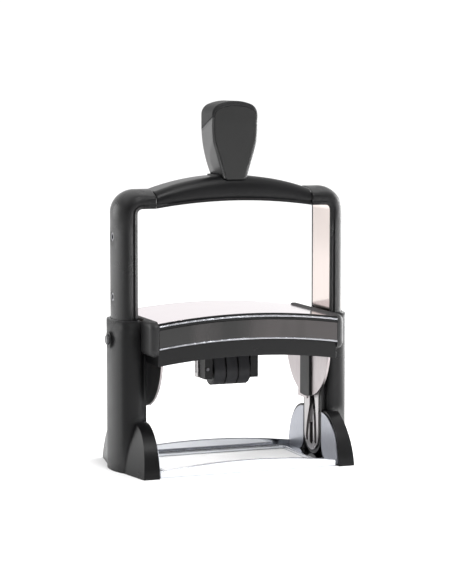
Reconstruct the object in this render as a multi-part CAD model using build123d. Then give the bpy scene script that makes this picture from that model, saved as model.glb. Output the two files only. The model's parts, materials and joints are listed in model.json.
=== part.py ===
from build123d import *
import math
import os

# Self-inking date stamp. Millimetres, X to the right, front towards -Y, Z up from the paper.
# Pieces that come in pairs are drawn on the right (+X) and mirrored to the left.
# Lengths build outwards and upwards from the rubber die, so a changed size carries its neighbours along.

# Clearances
running_gap = 0.3
fit_gap = 0.05
track_gap = 0.25
slot_gap = 0.4
cut_past = 1.0  # how far a cutter runs past the face that it opens

# Stroke and the rubber die
stroke = 75.0
die_rise = 12.5  # printing face above the trunnions
die_half_length = 57.0
die_half_depth = 27.5
die_base = 1.9  # solid rubber under the raised lines
die_relief = 0.8
ink_gap = 0.9  # between the resting die and the ink pad
border_margin = 2.0
border_width = 1.2
pivot_rest = die_rise + stroke
die_face = pivot_rest + die_rise
plate_top = die_face - die_base - die_relief  # the carrier's face under the rubber

# Trunnions and turning pins
trunnion_radius = 3.0
trunnion_bush_radius = 4.8
trunnion_inset = 4.0  # held inside the arm
turn_pin_radius = 2.0
turn_pin_throw = 8.0

# Die carrier
carrier_end = 1.5  # beyond the rubber at each end
carrier_side = 0.5  # and at front and rear
carrier_plate = 2.3
carrier_rim = 2.0
carrier_rim_drop = 1.5
arm_thickness = 5.0
arm_overhang = 4.0
arm_wall = 1.8  # above and below the trunnion
arm_end_wall = 1.5  # beyond the turning pins
arm_top_half_depth = 16.0
arm_top_setback = 0.7
carrier_half_length = die_half_length + carrier_end
carrier_half_depth = die_half_depth + carrier_side
arm_outer = carrier_half_length + arm_overhang
arm_inner = arm_outer - arm_thickness
trunnion_start = arm_outer - trunnion_inset

# Ink pad and the tray that slides out with it
pad_end = 1.8  # beyond the rubber at each end
pad_side = 3.8  # and at front and rear
pad_thickness = 5.7
pad_round = 1.9
tray_wall = 1.6
tray_wall_gap = 0.2
tray_plate = 2.0
tray_plate_overlap = 1.1
tray_lip_rise = 0.7
tray_front_gap = 0.4
runner_thickness = 1.6
runner_drop = 0.1
ledge_thickness = 1.6
tray_panel_drop = 2.4  # below the die's face
tray_panel_proud = 2.4
grip_radius = 40.0
grip_depth = 1.2
pad_half_length = die_half_length + pad_end
pad_half_depth = die_half_depth + pad_side
pad_bottom = die_face + ink_gap
pad_top = pad_bottom + pad_thickness
tray_inner_length = pad_half_length + tray_wall_gap
tray_inner_depth = pad_half_depth + tray_wall_gap
runner_bottom = pad_bottom + tray_lip_rise - runner_drop
ledge_top = runner_bottom - running_gap
ledge_inner = tray_inner_length + tray_wall + running_gap

# Pad housing
pad_surround = 12.7  # from the pad's edge to the housing's front and rear
housing_wall = 2.0
housing_end_wall = 3.0
housing_roof = 1.8
housing_arch = 480.0
housing_drop = 14.7  # skirt below the die's face
housing_rise = 15.0  # roof above it, at the middle
top_plate_thickness = 1.2
top_rim = 1.2  # black edge in front of the plate and behind it
window_end = 0.2
window_drop = 1.3
window_proud = 2.2
header_height = 2.0
header_proud = 1.6
trim_height = 1.3
trim_proud = 2.5
trim_round = 0.55
trim_clear = 0.1
card_thickness = 0.5
card_margin = 0.8
cap_thickness = 5.8
cap_proud = 2.1
cap_lift = 1.7
cap_below_roof = 2.3
cap_round = 6.0
cap_soft = 4.0
cap_notch_gap = 0.4
rib_pitch = 2.4
rib_depth = 0.6
rib_count = 16

# Half discs at the die's ends, and the levers on them
lever_thickness = 1.8
lever_half_depth = 9.2
lever_round = 0.8
shield_thickness = 1.6
shield_radius = 41.0  # about the trunnions
shield_top_drop = 3.0  # the half disc's straight edge, below the trunnions
shield_tab_depth = 2.4
shield_tab_overlap = 6.0
shield_tab_reach = 17.0  # to the rear
shield_inner = arm_outer + lever_thickness
housing_inner_length = shield_inner + shield_thickness + running_gap
housing_half_length = housing_inner_length + housing_end_wall
housing_half_depth = pad_half_depth + pad_surround
housing_bottom = die_face - housing_drop
housing_top = die_face + housing_rise
housing_inner_depth = housing_half_depth - housing_wall
housing_ceiling = housing_top - housing_roof
plate_level = housing_top + top_plate_thickness
window_half_length = housing_half_length - window_end
window_bottom = die_face - window_drop
upper_trim_low = housing_top - trim_clear - trim_height
window_top = upper_trim_low - header_height
cap_outer = housing_half_length + cap_thickness
cap_half_depth = housing_half_depth + cap_proud
cap_bottom = housing_bottom + cap_lift
cap_top = housing_top - cap_below_roof

# Guide rails and turning tracks
rail_thickness = 3.4
rail_width = 3.7
rail_clear = 0.5  # under the end cap
track_wall = 2.95
track_depth = 2.6
track_proud = 1.0
track_headroom = 12.5
track_footroom = 7.7
track_steps = 12
track_inner = housing_half_length - track_proud
track_half_depth = turn_pin_throw + turn_pin_radius + track_gap + track_wall
track_bottom = die_rise - track_footroom
track_top = pivot_rest + track_headroom
rail_half_depth = track_half_depth + rail_width
rail_top = cap_bottom - rail_clear

# Legs of the handle frame, inside the columns
column_inner_wall = 2.8
strap_thickness = 0.8
strap_half_depth = 15.6
leg_width = 12.8
leg_half_depth = 18.2
leg_crown = 5.5
leg_corner = 3.5
leg_wall = 2.0
leg_tail = 7.0  # below the trunnions
leg_length = 107.5
leg_solid = 8.0  # solid below the bend
groove_edge = 1.9  # from the strap's side of the frame
groove_width = 1.8
groove_depth = 0.7
bend_inner_radius = 4.5
shoulder_run = 11.2
shoulder_round = 1.2
column_flat = housing_half_length + rail_thickness
leg_inner = column_flat + column_inner_wall + running_gap
leg_flat = leg_inner + strap_thickness
leg_outer = leg_flat + leg_width
leg_bottom = pivot_rest - leg_tail
bend_height = leg_bottom + leg_length
leg_hollow_top = bend_height - leg_solid
bend_axis_x = leg_flat - bend_inner_radius
shoulder_end = bend_axis_x - shoulder_run
shoulder_underside = bend_height + bend_inner_radius

# Columns with their fins
column_wall = 2.1
column_side_wall = 3.5
column_crown = 5.5
column_corner = 6.0
column_bevel_run = 3.2
column_bevel_depth = 1.0
column_above_die = 10.5
column_floor = 5.0
column_round = 1.0
bush_thickness = 1.0
bush_height = 7.0
bush_proud = 0.5
fin_step = 0.8
fin_setback = 9.7  # of the tip on the paper, from the column's outer face
fin_reach = 3.3  # past the base frame
fin_overlap = 2.0
fin_heel = 11.0
fin_height = 37.0
fin_toe = 10.0  # degrees, outer face turned in towards the tip
fin_lean = 3.3  # degrees, outer face leaning in on the paper
fin_swell = 160.0  # its round, so that it leans more towards the top
fin_plate_thickness = 1.0
fin_plate_rim = 1.3
fin_plate_round = 10.0
column_outer = leg_outer + running_gap + column_wall
column_half_depth = leg_half_depth + running_gap + column_side_wall
column_top = die_face + column_above_die
bush_bottom = column_top + bush_proud - bush_height
fin_inner = housing_half_length + fin_step
fin_outer = column_outer - fin_setback
fin_root = column_half_depth - fin_overlap

# Base frame
base_setback = 0.5
base_overhang = 2.0
base_floor = 1.6
base_wall = 2.0
base_wall_top = 9.5
base_arch = 520.0
opening_end = 2.4  # beyond the rubber at each end
opening_side = 8.3  # and at front and rear
opening_lip = 2.0
opening_lip_rise = 0.8
opening_round = 3.0
tongue_length = 13.4
tongue_half_depth = 14.0
tongue_gap = 0.2
tongue_overlap = 1.0
base_screw_radius = 1.5
base_screw_head = 2.7
base_screw_short = 0.2
base_screw_reach = 6.4
base_screw_y = 9.5
base_half_length = housing_half_length - base_setback
base_half_depth = housing_half_depth + base_overhang
opening_half_length = die_half_length + opening_end
opening_half_depth = die_half_depth + opening_side
tongue_end = column_flat + tongue_length
base_screw_x = column_flat + base_screw_reach
fin_tip = base_half_depth + fin_reach
rail_bottom = base_floor + running_gap

# Bridge between the shoulders
bridge_rise = 4.6
bridge_height = 17.2
bridge_top_radius = 181.0
bridge_setback = 1.0
bridge_round = 7.0
tenon_length = 12.0
tenon_root = 2.0
tenon_side = 6.2
tenon_height = 6.5
tenon_lift = 2.2
collar_rise = 1.0
collar_margin = 2.4
collar_front = 14.0
collar_round = 5.0
bridge_bottom = shoulder_underside + bridge_rise
bridge_top = bridge_bottom + bridge_height
bridge_half_depth = leg_half_depth - bridge_setback
tenon_half_depth = bridge_half_depth - tenon_side

# Knob
knob_height = 54.6  # above the bridge
knob_wide_rise = 36.9  # where the sides stand upright
knob_half_width = 17.7
knob_side_radius = 96.0
knob_crown_radius = 34.0
knob_corner = 8.5
knob_front = 17.0
knob_back = 12.0
knob_front_round = 1.4
knob_back_round = 6.0
knob_overlap = 1.9  # down over the bridge's front edge
facet_rise = 25.7  # above the bridge, where the facets at the front edges begin
facet_width = 0.85
facet_run = 8.0
knob_seam_front_drop = 11.6
knob_seam_back_drop = 23.0
knob_seam_gap = 0.25
knob_peg_half = 6.0
knob_peg_below = 5.0
knob_peg_above = 4.0
panel_margin = 1.6
panel_top_drop = 2.2
panel_thickness = 1.4
panel_proud = 0.3
panel_overhang = 0.6
panel_corner = 3.0
rear_panel_lift = 20.0
knob_screw_radius = 2.5
knob_screw_head_radius = 4.6
knob_screw_head = 3.0
knob_screw_sunk = 0.2
knob_screw_reach = 20.9
knob_top = bridge_top + knob_height
knob_wide_height = bridge_top + knob_wide_rise
knob_foot = bridge_top - knob_overlap
knob_seam_front = knob_top - knob_seam_front_drop
knob_seam_back = knob_top - knob_seam_back_drop
knob_screw_top = bridge_top + knob_screw_reach

# Return springs
spring_radius = 2.9
spring_wire = 1.1
spring_turns = 20
spring_sides = 8
spring_rod_radius = 1.9
spring_rod_clear = 1.0
spring_x = (leg_flat + leg_outer) / 2
spring_rod_top = leg_hollow_top - stroke - spring_rod_clear

# Locks
lock_below_rim = 14.5
lock_stem_radius = 1.6
lock_cap_radius = 3.6
lock_cap_proud = 2.8
lock_cap_thickness = 2.2
lock_cap_chamfer = 0.6
lock_boss_radius = 6.0
lock_boss_proud = 1.0
lock_recess_depth = 1.5
lock_half_way = 31.2  # stroke at which the middle eyelet meets the pin
eyelet_hole = 2.0
eyelet_radius = 3.2
eyelet_setback = 0.25
lock_height = column_top - lock_below_rim
lock_stops = (0.0, lock_half_way, stroke)
lock_cap_outer = column_outer + lock_cap_proud
lock_cap_inner = lock_cap_outer - lock_cap_thickness

# Date unit
band_count = 3
band_pitch = 9.6
band_width = 8.3
band_thickness = 1.4
band_wheel_radius = 11.0
band_top_half = 4.5
band_top_round = 2.0
axle_drop = 18.0  # below the trunnions
axle_radius = 1.6
axle_seat = 4.0  # into each head
wheel_gap = 0.2
wheel_bore_gap = 0.06
flange_radius = 10.4
flange_thickness = 0.8
flange_notches = 16
flange_notch_radius = 0.7
head_clear = 0.4
head_width = 5.8
head_half_depth = 9.5
head_drop = 5.6  # below the axle
head_round = 1.0
side_plate_thickness = 1.2
side_plate_depth = 7.0
side_plate_proud = 0.8
side_slot_half = 1.0
side_slot_margin = 4.0
detent_radius = 1.2
detent_rise = 2.0  # above the axle
detent_inset = 2.0
detent_proud = 0.7
detent_length = 4.0
type_bar_rise = 2.5  # above the trunnions
date_window_half_depth = 7.0
axle_height = pivot_rest - axle_drop
carrier_under = plate_top - carrier_plate
band_gap = band_pitch - band_width
flange_slack = (band_gap - flange_thickness) / 2
last_band_side = (band_count - 1) / 2 * band_pitch + band_width / 2
head_inner = last_band_side + flange_slack + flange_thickness + head_clear
head_outer = head_inner + head_width
head_bottom = axle_height - head_drop
type_bar_bottom = pivot_rest + type_bar_rise

PARTS = "parts"


def save(name, shape):
    export_step(shape, os.path.join(PARTS, name + ".step"))


def save_pair(name, shape):
    save("right_" + name, shape)
    save("left_" + name, mirror(shape, about=Plane.YZ))


def rise(face, low, high):
    """Extrude a plan view from one height to another."""
    return extrude(Pos(0, 0, low) * face, amount=high - low)


def across(face, front, back):
    """Extrude a front view, drawn in X and Z, from front to back."""
    return extrude(Plane((0, back, 0), x_dir=(1, 0, 0), z_dir=(0, -1, 0)) * face, amount=back - front)


def along(face, start, end):
    """Extrude a side view, drawn in Y and Z, along X."""
    return extrude(Plane((start, 0, 0), x_dir=(0, 1, 0), z_dir=(1, 0, 0)) * face, amount=end - start)


def block(x0, x1, y0, y1, z0, z1):
    return Pos((x0 + x1) / 2, (y0 + y1) / 2, (z0 + z1) / 2) * Box(x1 - x0, y1 - y0, z1 - z0)


def rod(radius, start, end, y, z):
    """A round bar along X."""
    return along(Pos(y, z) * Circle(radius), start, end)


def post(radius, x, y, low, high):
    """A round bar along Z."""
    return rise(Pos(x, y) * Circle(radius), low, high)


def both_ends(right):
    return right + mirror(right, about=Plane.YZ)


def drop(radius, x):
    """How far an arch of this radius has fallen at a distance from its middle."""
    return radius - math.sqrt(radius**2 - x**2)


def arched_face(half, low, high, radius):
    """A band with both edges arched alike; low and high are taken at the middle."""
    fall = drop(radius, half)
    lower = ThreePointArc((-half, low - fall), (0, low), (half, low - fall))
    upper = ThreePointArc((half, high - fall), (0, high), (-half, high - fall))
    return make_face([lower, Line(lower @ 1, upper @ 0), upper, Line(upper @ 1, lower @ 0)])


def vault_face(half, low, high, radius):
    """A flat foot under an arched top."""
    fall = drop(radius, half)
    upper = ThreePointArc((half, high - fall), (0, high), (-half, high - fall))
    return make_face([Polyline(upper @ 1, (-half, low), (half, low), upper @ 0), upper])


def crowned_face(flat, outer, half_depth, crown, corner, bevel=None):
    """The plan of columns and legs: flat towards the middle, straight sides, a crowned outer face
    with round corners, and where it is asked for a bevel on the two inner edges."""
    edge = outer - crown
    arc = ThreePointArc((edge, -half_depth), (outer, 0), (edge, half_depth))
    rear = [(flat, half_depth)]
    if bevel:
        run, depth = bevel
        rear = [(flat + run, half_depth), (flat, half_depth - depth)]
    front = [(x, -y) for x, y in reversed(rear)]
    face = make_face([arc, Polyline(arc @ 1, *rear, *front, arc @ 0)])
    return fillet(face.vertices().group_by(Axis.X)[-1], corner)


def u_face(half, low, high):
    """A tongue with a fully round lower end."""
    arc = ThreePointArc((-half, low + half), (0, low), (half, low + half))
    return make_face([arc, Polyline(arc @ 1, (half, high), (-half, high), arc @ 0)])


def slot_face(half, low, high):
    """An upright slot; low and high are the centres of its round ends."""
    return Pos(0, (low + high) / 2) * SlotCenterToCenter(high - low, 2 * half, rotation=90)


def trunnion_slot(start, end):
    """The slot in which a trunnion goes up and down."""
    return along(slot_face(trunnion_radius + slot_gap, pivot_rest - stroke, pivot_rest), start, end)


def fin():
    """The rear fin of the right column: a quarter ellipse with a swelling outer face."""
    edge = EllipticalCenterArc((fin_root, 0), fin_tip - fin_root, fin_height, start_angle=0, arc_size=90)
    heel = fin_root - fin_heel
    face = make_face([edge, Polyline(edge @ 1, (heel, fin_height), (heel, 0), edge @ 0)])
    toe, lean = math.radians(fin_toe), math.radians(fin_lean)
    section = Plane((fin_outer, fin_tip, 0), x_dir=(math.cos(toe), math.sin(toe), 0),
                    z_dir=(math.sin(toe), -math.cos(toe), 0))
    swell = Pos(-fin_swell * math.cos(lean), -fin_swell * math.sin(lean)) * Circle(fin_swell)
    outline = extrude(section * swell, amount=2 * fin_tip, both=True)
    rail_room = rail_half_depth + running_gap
    inside = block(fin_inner - cut_past, column_flat, -rail_room, rail_room,
                   -cut_past, fin_height + cut_past)
    return (along(face, fin_inner, column_outer) & outline) - inside


def cavity(grow, low, high):
    """The room for a leg and its strap, grown all round by a clearance."""
    face = crowned_face(leg_inner - grow, leg_outer + grow, leg_half_depth + grow,
                        leg_crown, leg_corner + grow)
    return rise(face, low, high)


def column_casing():
    plan = crowned_face(column_flat, column_outer, column_half_depth, column_crown, column_corner,
                        (column_bevel_run, column_bevel_depth))
    shell = rise(plan, 0, column_top)
    shell = fillet(shell.edges().group_by(Axis.Z)[-1], column_round)
    rear = fin()
    shell += rear + mirror(rear, about=Plane.XZ)
    shell += rod(lock_boss_radius, leg_outer, column_outer + lock_boss_proud, 0, lock_height)
    shell -= cavity(running_gap, column_floor, column_top + cut_past)
    shell -= cavity(running_gap + bush_thickness, bush_bottom, column_top + cut_past)
    shell -= trunnion_slot(column_flat - cut_past, leg_inner)
    shell -= rod(lock_cap_radius + running_gap, column_outer - lock_recess_depth,
                 column_outer + lock_boss_proud + cut_past, 0, lock_height)
    shell -= rod(lock_stem_radius + fit_gap, leg_outer, column_outer, 0, lock_height)
    half = tongue_half_depth + tongue_gap
    shell -= block(fin_inner - cut_past, tongue_end + tongue_gap, -half, half,
                   -cut_past, base_floor + fit_gap)
    for y in (-base_screw_y, base_screw_y):
        shell -= post(base_screw_radius + fit_gap, base_screw_x, y, 0, column_floor - fit_gap)
    return shell


def guide_bush():
    outer = cavity(running_gap + bush_thickness - fit_gap, bush_bottom, column_top + bush_proud)
    return outer - cavity(running_gap, bush_bottom - cut_past, column_top + bush_proud + cut_past)


def fin_plates():
    """Polished plates on the inner faces of both fins, with a round corner at the rail's foot."""
    heel = rail_half_depth + running_gap
    edge = EllipticalCenterArc((heel, fin_plate_rim), fin_tip - heel - 2 * fin_plate_rim,
                               fin_height - 2 * fin_plate_rim, start_angle=0, arc_size=90)
    face = make_face([edge, Polyline(edge @ 1, (heel, fin_plate_rim), edge @ 0)])
    foot = face.vertices().sort_by_distance((heel, fin_plate_rim, 0))[0]
    face = fillet(foot, fin_plate_round)
    plate = along(face, fin_inner - fin_plate_thickness, fin_inner)
    return Compound(children=[plate, mirror(plate, about=Plane.XZ)])


def base_frame():
    plate = rise(Rectangle(2 * base_half_length, 2 * base_half_depth), 0, base_floor)
    plate += both_ends(block(base_half_length - tongue_overlap, tongue_end,
                             -tongue_half_depth, tongue_half_depth, 0, base_floor))
    walls = across(vault_face(base_half_length, 0, base_wall_top, base_arch),
                   -base_half_depth, base_half_depth)
    inner = base_half_depth - base_wall
    end = base_half_length + cut_past
    plate += walls - block(-end, end, -inner, inner, -cut_past, base_wall_top + cut_past)
    lip = RectangleRounded(2 * (opening_half_length + opening_lip), 2 * (opening_half_depth + opening_lip),
                           opening_round + opening_lip)
    plate += rise(lip, 0, base_floor + opening_lip_rise)
    plate -= rise(RectangleRounded(2 * opening_half_length, 2 * opening_half_depth, opening_round),
                  -cut_past, base_wall_top)
    return plate - [place * base_screw(fit_gap) for place in base_screw_places()]


def base_screw_places():
    return [Pos(x, y) for x in (-base_screw_x, base_screw_x) for y in (-base_screw_y, base_screw_y)]


def base_screw(grow=0.0):
    """A countersunk screw, head down; grow gives the hole for it."""
    head = base_screw_head + grow
    shank = base_screw_radius + grow
    top = column_floor - base_screw_short
    profile = Polyline((0, 0), (head, 0), (shank, head - shank), (shank, top), (0, top), close=True)
    return revolve(Plane.XZ * make_face(profile), Axis.Z)


def base_screws():
    return Compound(children=[place * base_screw() for place in base_screw_places()])


def guide_rail():
    face = u_face(rail_half_depth, rail_bottom, rail_top)
    face -= u_face(track_half_depth + fit_gap, track_bottom - fit_gap, rail_top + cut_past)
    return along(face, housing_half_length, column_flat)


def track_face(sign):
    """The path of one turning pin, as wide as the pin with its gap. The trunnion falls evenly while
    the die turns half round, so the pin runs on a cosine wave that crosses the middle once."""
    half = turn_pin_radius + track_gap
    left, right, ends = [], [], []
    for n in range(track_steps + 1):
        turn = math.pi * n / track_steps
        y = sign * turn_pin_throw * math.cos(turn)
        z = pivot_rest - stroke * n / track_steps + sign * turn_pin_throw * math.sin(turn)
        slope_y = -sign * turn_pin_throw * math.sin(turn)
        slope_z = -stroke / math.pi + sign * turn_pin_throw * math.cos(turn)
        length = math.hypot(slope_y, slope_z)
        along_y, along_z = slope_y / length, slope_z / length
        left.append((y + half * along_z, z - half * along_y))
        right.append((y - half * along_z, z + half * along_y))
        ends.append((y, z, along_y, along_z))
    first, last = ends[0], ends[-1]
    start = ThreePointArc(right[0], (first[0] - half * first[2], first[1] - half * first[3]), left[0])
    finish = ThreePointArc(left[-1], (last[0] + half * last[2], last[1] + half * last[3]), right[-1])
    return make_face([start, Spline(left), finish, Spline(list(reversed(right)))])


def cam_plate():
    plate = along(u_face(track_half_depth, track_bottom, track_top), track_inner, column_flat)
    for sign in (-1, 1):
        plate -= along(track_face(sign), track_inner - cut_past, track_inner + track_depth)
    return plate - trunnion_slot(track_inner - cut_past, column_flat + cut_past)


def return_spring():
    """A square-wire coil from the column floor up into the hollow leg."""
    run = leg_hollow_top - column_floor - spring_wire
    steps = spring_turns * spring_sides
    sections = []
    for n in range(steps + 1):
        turn = 2 * math.pi * n / spring_sides
        place = (spring_x + spring_radius * math.cos(turn), spring_radius * math.sin(turn),
                 column_floor + spring_wire / 2 + run * n / steps)
        outward = (math.cos(turn), math.sin(turn), 0)
        ahead = (-math.sin(turn), math.cos(turn), 0)
        sections.append(Plane(place, x_dir=outward, z_dir=ahead) * Rectangle(spring_wire, spring_wire))
    print("return spring: least gap between turns", round(run / spring_turns - spring_wire, 2), "mm")
    return loft(sections, ruled=True)


def pad_housing():
    """An arched box, open below and at the rear, with a header over the window and ledges for the tray."""
    shell = across(arched_face(housing_half_length, housing_bottom, plate_level, housing_arch),
                   -housing_half_depth, housing_half_depth)
    shell -= housing_top_plate(fit_gap)
    shell += across(arched_face(window_half_length, window_top, upper_trim_low, housing_arch),
                    -housing_half_depth - header_proud, -housing_inner_depth)
    shell -= across(vault_face(housing_inner_length, 0, housing_ceiling, housing_arch),
                    -housing_inner_depth, housing_inner_depth)
    sill = pad_bottom - 2 * running_gap
    shell -= across(vault_face(housing_inner_length, sill, housing_ceiling, housing_arch),
                    0, housing_half_depth + cut_past)
    shell += both_ends(block(ledge_inner, housing_inner_length, -housing_inner_depth, housing_inner_depth,
                             ledge_top - ledge_thickness, ledge_top))
    half = track_half_depth + running_gap
    return shell - both_ends(block(housing_inner_length, housing_half_length + cut_past, -half, half,
                                   0, track_top + running_gap))


def housing_top_plate(grow=0.0):
    """The polished plate let into the roof; grow gives its recess."""
    depth = housing_half_depth - top_rim + grow
    return across(arched_face(housing_half_length + grow, housing_top, plate_level + grow, housing_arch),
                  -depth, depth)


def end_cap():
    height = cap_top - cap_bottom
    face = Pos(0, cap_bottom + height / 2) * RectangleRounded(2 * cap_half_depth, height, cap_round)
    cap = along(face, housing_half_length, cap_outer)
    cap = fillet(cap.faces().sort_by(Axis.X)[-1].edges(), cap_soft)
    past = cap_outer + cut_past
    notch = column_half_depth + cap_notch_gap
    cap -= block(column_flat - running_gap, past, -notch, notch, cap_bottom - cut_past, cap_top + cut_past)
    half = track_half_depth + running_gap
    cap -= block(housing_half_length - cut_past, past, -half, half, housing_bottom, track_top + running_gap)
    low = (0, cap_top - rib_depth)
    groove = make_face(Polyline((-rib_depth, cap_top), (rib_depth, cap_top), low, close=True))
    first = cap_half_depth - cap_round - rib_depth
    grooves = []
    for n in range(rib_count):
        for side in (-1, 1):
            place = Pos(side * (first - n * rib_pitch), 0)
            grooves.append(along(place * groove, housing_half_length - cut_past, past))
    return cap - grooves


def label_window():
    return across(arched_face(window_half_length, window_bottom, window_top, housing_arch),
                  -housing_half_depth - window_proud, -housing_half_depth - card_thickness)


def label_card():
    return across(arched_face(window_half_length - card_margin, window_bottom + card_margin,
                              window_top - card_margin, housing_arch),
                  -housing_half_depth - card_thickness, -housing_half_depth)


def trim_strip(low):
    """A bright bead, round along its front."""
    bead = across(arched_face(window_half_length, low, low + trim_height, housing_arch),
                  -housing_half_depth - trim_proud, -housing_half_depth)
    return fillet(bead.faces().sort_by(Axis.Y)[0].edges().filter_by(GeomType.CIRCLE), trim_round)


def eye_face():
    """The eye round a trunnion and its two turning pins."""
    half_depth = turn_pin_throw + turn_pin_radius + arm_end_wall
    return Pos(0, pivot_rest) * SlotOverall(2 * half_depth, 2 * (trunnion_radius + arm_wall))


def pin_bores(start, end):
    bores = rod(trunnion_radius + fit_gap, start, end, 0, pivot_rest)
    for y in (-turn_pin_throw, turn_pin_throw):
        bores += rod(turn_pin_radius + fit_gap, start, end, y, pivot_rest)
    return bores


def end_shield():
    """The half disc at each end of the die. It turns with the die, so it is centred on the trunnions."""
    disc = Pos(0, pivot_rest) * Circle(shield_radius)
    side = 2 * shield_radius
    face = disc & (Pos(0, pivot_rest - shield_top_drop - side / 2) * Rectangle(side, side))
    tab_low = pivot_rest - shield_radius - shield_tab_depth
    tab_height = shield_tab_depth + shield_tab_overlap
    face += Pos(shield_tab_reach / 2, tab_low + tab_height / 2) * Rectangle(shield_tab_reach, tab_height)
    plate = along(face + eye_face(), shield_inner, shield_inner + shield_thickness)
    return plate - pin_bores(shield_inner - cut_past, shield_inner + shield_thickness + cut_past)


def turning_levers():
    """The black strip on the inner side of each half disc, from the trunnion to the rim."""
    disc = Pos(0, pivot_rest) * Circle(shield_radius)
    strip = disc & (Pos(0, pivot_rest - shield_radius / 2) * Rectangle(2 * lever_half_depth, shield_radius))
    right = along(strip, arm_outer, shield_inner)
    sides = right.faces().sort_by(Axis.X)[0].edges().filter_by(Axis.Z)
    right = fillet(sides, lever_round) + along(eye_face(), arm_outer, shield_inner)
    right -= pin_bores(arm_outer - cut_past, shield_inner + cut_past)
    return Compound(children=[right, mirror(right, about=Plane.YZ)])


def leg_section():
    return crowned_face(leg_inner, leg_outer, leg_half_depth, leg_crown, leg_corner)


def leg_hollow():
    return crowned_face(leg_flat + leg_wall, leg_outer - leg_wall, leg_half_depth - leg_wall, leg_crown,
                        leg_corner - leg_wall)


def leg_cover():
    """A hollow leg, bent over into a shoulder that sockets the bridge's tenon."""
    shell = rise(leg_section(), leg_bottom, bend_height)
    axis = Axis((bend_axis_x, 0, bend_height), (0, -1, 0))
    upright = Pos(0, 0, bend_height) * leg_section()
    shell += revolve(upright, axis, 90)
    shell += extrude(upright.rotate(axis, 90), amount=shoulder_run, dir=(-1, 0, 0))
    end = shell.faces().sort_by(Axis.X)[0]
    shell = fillet(end.edges().sort_by(Axis.Z)[1:], shoulder_round)
    shell -= rise(leg_hollow(), leg_bottom - cut_past, leg_hollow_top)
    shell -= inner_strap(fit_gap)
    shell -= edge_grooves(leg_half_depth)
    shell -= rod(trunnion_bush_radius + fit_gap, leg_inner, leg_flat + leg_wall + cut_past, 0, pivot_rest)
    for down in lock_stops:
        shell -= rod(eyelet_radius + fit_gap, leg_outer - leg_wall - cut_past, leg_outer + cut_past,
                     0, lock_height + down)
    return shell - tenon(fit_gap)


def tenon(grow=0.0):
    """The bridge's end inside a shoulder; grow gives its socket."""
    foot = shoulder_underside + tenon_lift
    half = tenon_half_depth + grow
    return block(shoulder_end - tenon_root, shoulder_end + tenon_length + grow, -half, half,
                 foot - grow, foot + tenon_height + grow)


def lock_eyelets():
    inner = leg_outer - leg_wall
    ring = (rod(eyelet_radius, inner, leg_outer - eyelet_setback, 0, 0)
            - rod(eyelet_hole, inner - cut_past, leg_outer + cut_past, 0, 0))
    return Compound(children=[Pos(0, 0, lock_height + down) * ring for down in lock_stops])


def trunnion_bush():
    end = leg_flat + leg_wall
    return (rod(trunnion_bush_radius, leg_inner, end, 0, pivot_rest)
            - rod(trunnion_radius + fit_gap, leg_inner - cut_past, end + cut_past, 0, pivot_rest))


def bridge_beam():
    """The arched beam itself: round along its top edges, grooved along its lower ones."""
    ends, middle = shoulder_underside - strap_thickness, bridge_bottom - strap_thickness
    low = ThreePointArc((-shoulder_end, ends), (0, middle), (shoulder_end, ends))
    side = bridge_top - drop(bridge_top_radius, shoulder_end)
    high = ThreePointArc((shoulder_end, side), (0, bridge_top), (-shoulder_end, side))
    beam = across(make_face([low, Line(low @ 1, high @ 0), high, Line(high @ 1, low @ 0)]),
                  -bridge_half_depth, bridge_half_depth)
    tops = [face.edges().filter_by(GeomType.CIRCLE).sort_by(Axis.Z)[-1]
            for face in beam.faces().filter_by(Axis.Y)]
    return fillet(tops, bridge_round) - inner_strap(fit_gap) - edge_grooves(bridge_half_depth)


def handle_bridge():
    """The beam with its tenons, a low collar round the knob's foot and the hole for the knob's screw."""
    beam = bridge_beam()
    length = collar_front + knob_back + collar_margin
    plan = Pos(0, (knob_back + collar_margin - collar_front) / 2) * RectangleRounded(
        2 * (knob_half(knob_foot) + collar_margin), length, collar_round)
    collar = (Pos(0, 0, collar_rise) * beam) & rise(plan, bridge_top - bridge_round, knob_top)
    body = beam + collar + both_ends(tenon())
    body -= post(knob_screw_radius + fit_gap, 0, 0, bridge_bottom - cut_past, bridge_top + 2 * collar_rise)
    return body - post(knob_screw_head_radius + fit_gap, 0, 0, bridge_bottom - cut_past,
                       bridge_bottom + knob_screw_head)


def frame_line(inset):
    """A line along the frame's inner side, seen from the front: up a leg, round the bend and under the
    bridge. It lies inset from the strap's outer face, towards the hand."""
    x = leg_flat - inset
    radius = bend_inner_radius - inset
    corner = radius * math.sqrt(0.5)
    top = bend_height + radius
    return [
        Line((x, leg_bottom), (x, bend_height)),
        ThreePointArc((x, bend_height), (bend_axis_x + corner, bend_height + corner), (bend_axis_x, top)),
        Line((bend_axis_x, top), (shoulder_end, top)),
        ThreePointArc((shoulder_end, top), (0, bridge_bottom - inset), (-shoulder_end, top)),
        Line((-shoulder_end, top), (-bend_axis_x, top)),
        ThreePointArc((-bend_axis_x, top), (-bend_axis_x - corner, bend_height + corner), (-x, bend_height)),
        Line((-x, bend_height), (-x, leg_bottom)),
    ]


def frame_band(start, end):
    """The front view between two such lines."""
    outer, inner = frame_line(start), frame_line(end)
    feet = [Line(outer[0] @ 0, inner[0] @ 0), Line(outer[-1] @ 1, inner[-1] @ 1)]
    return make_face(outer + inner + feet)


def inner_strap(grow=0.0):
    """One polished strip let into both legs and the underside of the bridge; grow gives its recess."""
    half = strap_half_depth + grow
    return across(frame_band(-grow, strap_thickness + grow), -half, half)


def bored_strap():
    return inner_strap() - rod(trunnion_bush_radius + fit_gap, -leg_outer, leg_outer, 0, pivot_rest)


def edge_grooves(half_depth):
    """The shadow line beside the inner edge of the frame, at front and rear."""
    start = strap_thickness - groove_edge
    front = across(frame_band(start - groove_width, start),
                   -half_depth - cut_past, groove_depth - half_depth)
    return front + mirror(front, about=Plane.XZ)


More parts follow.
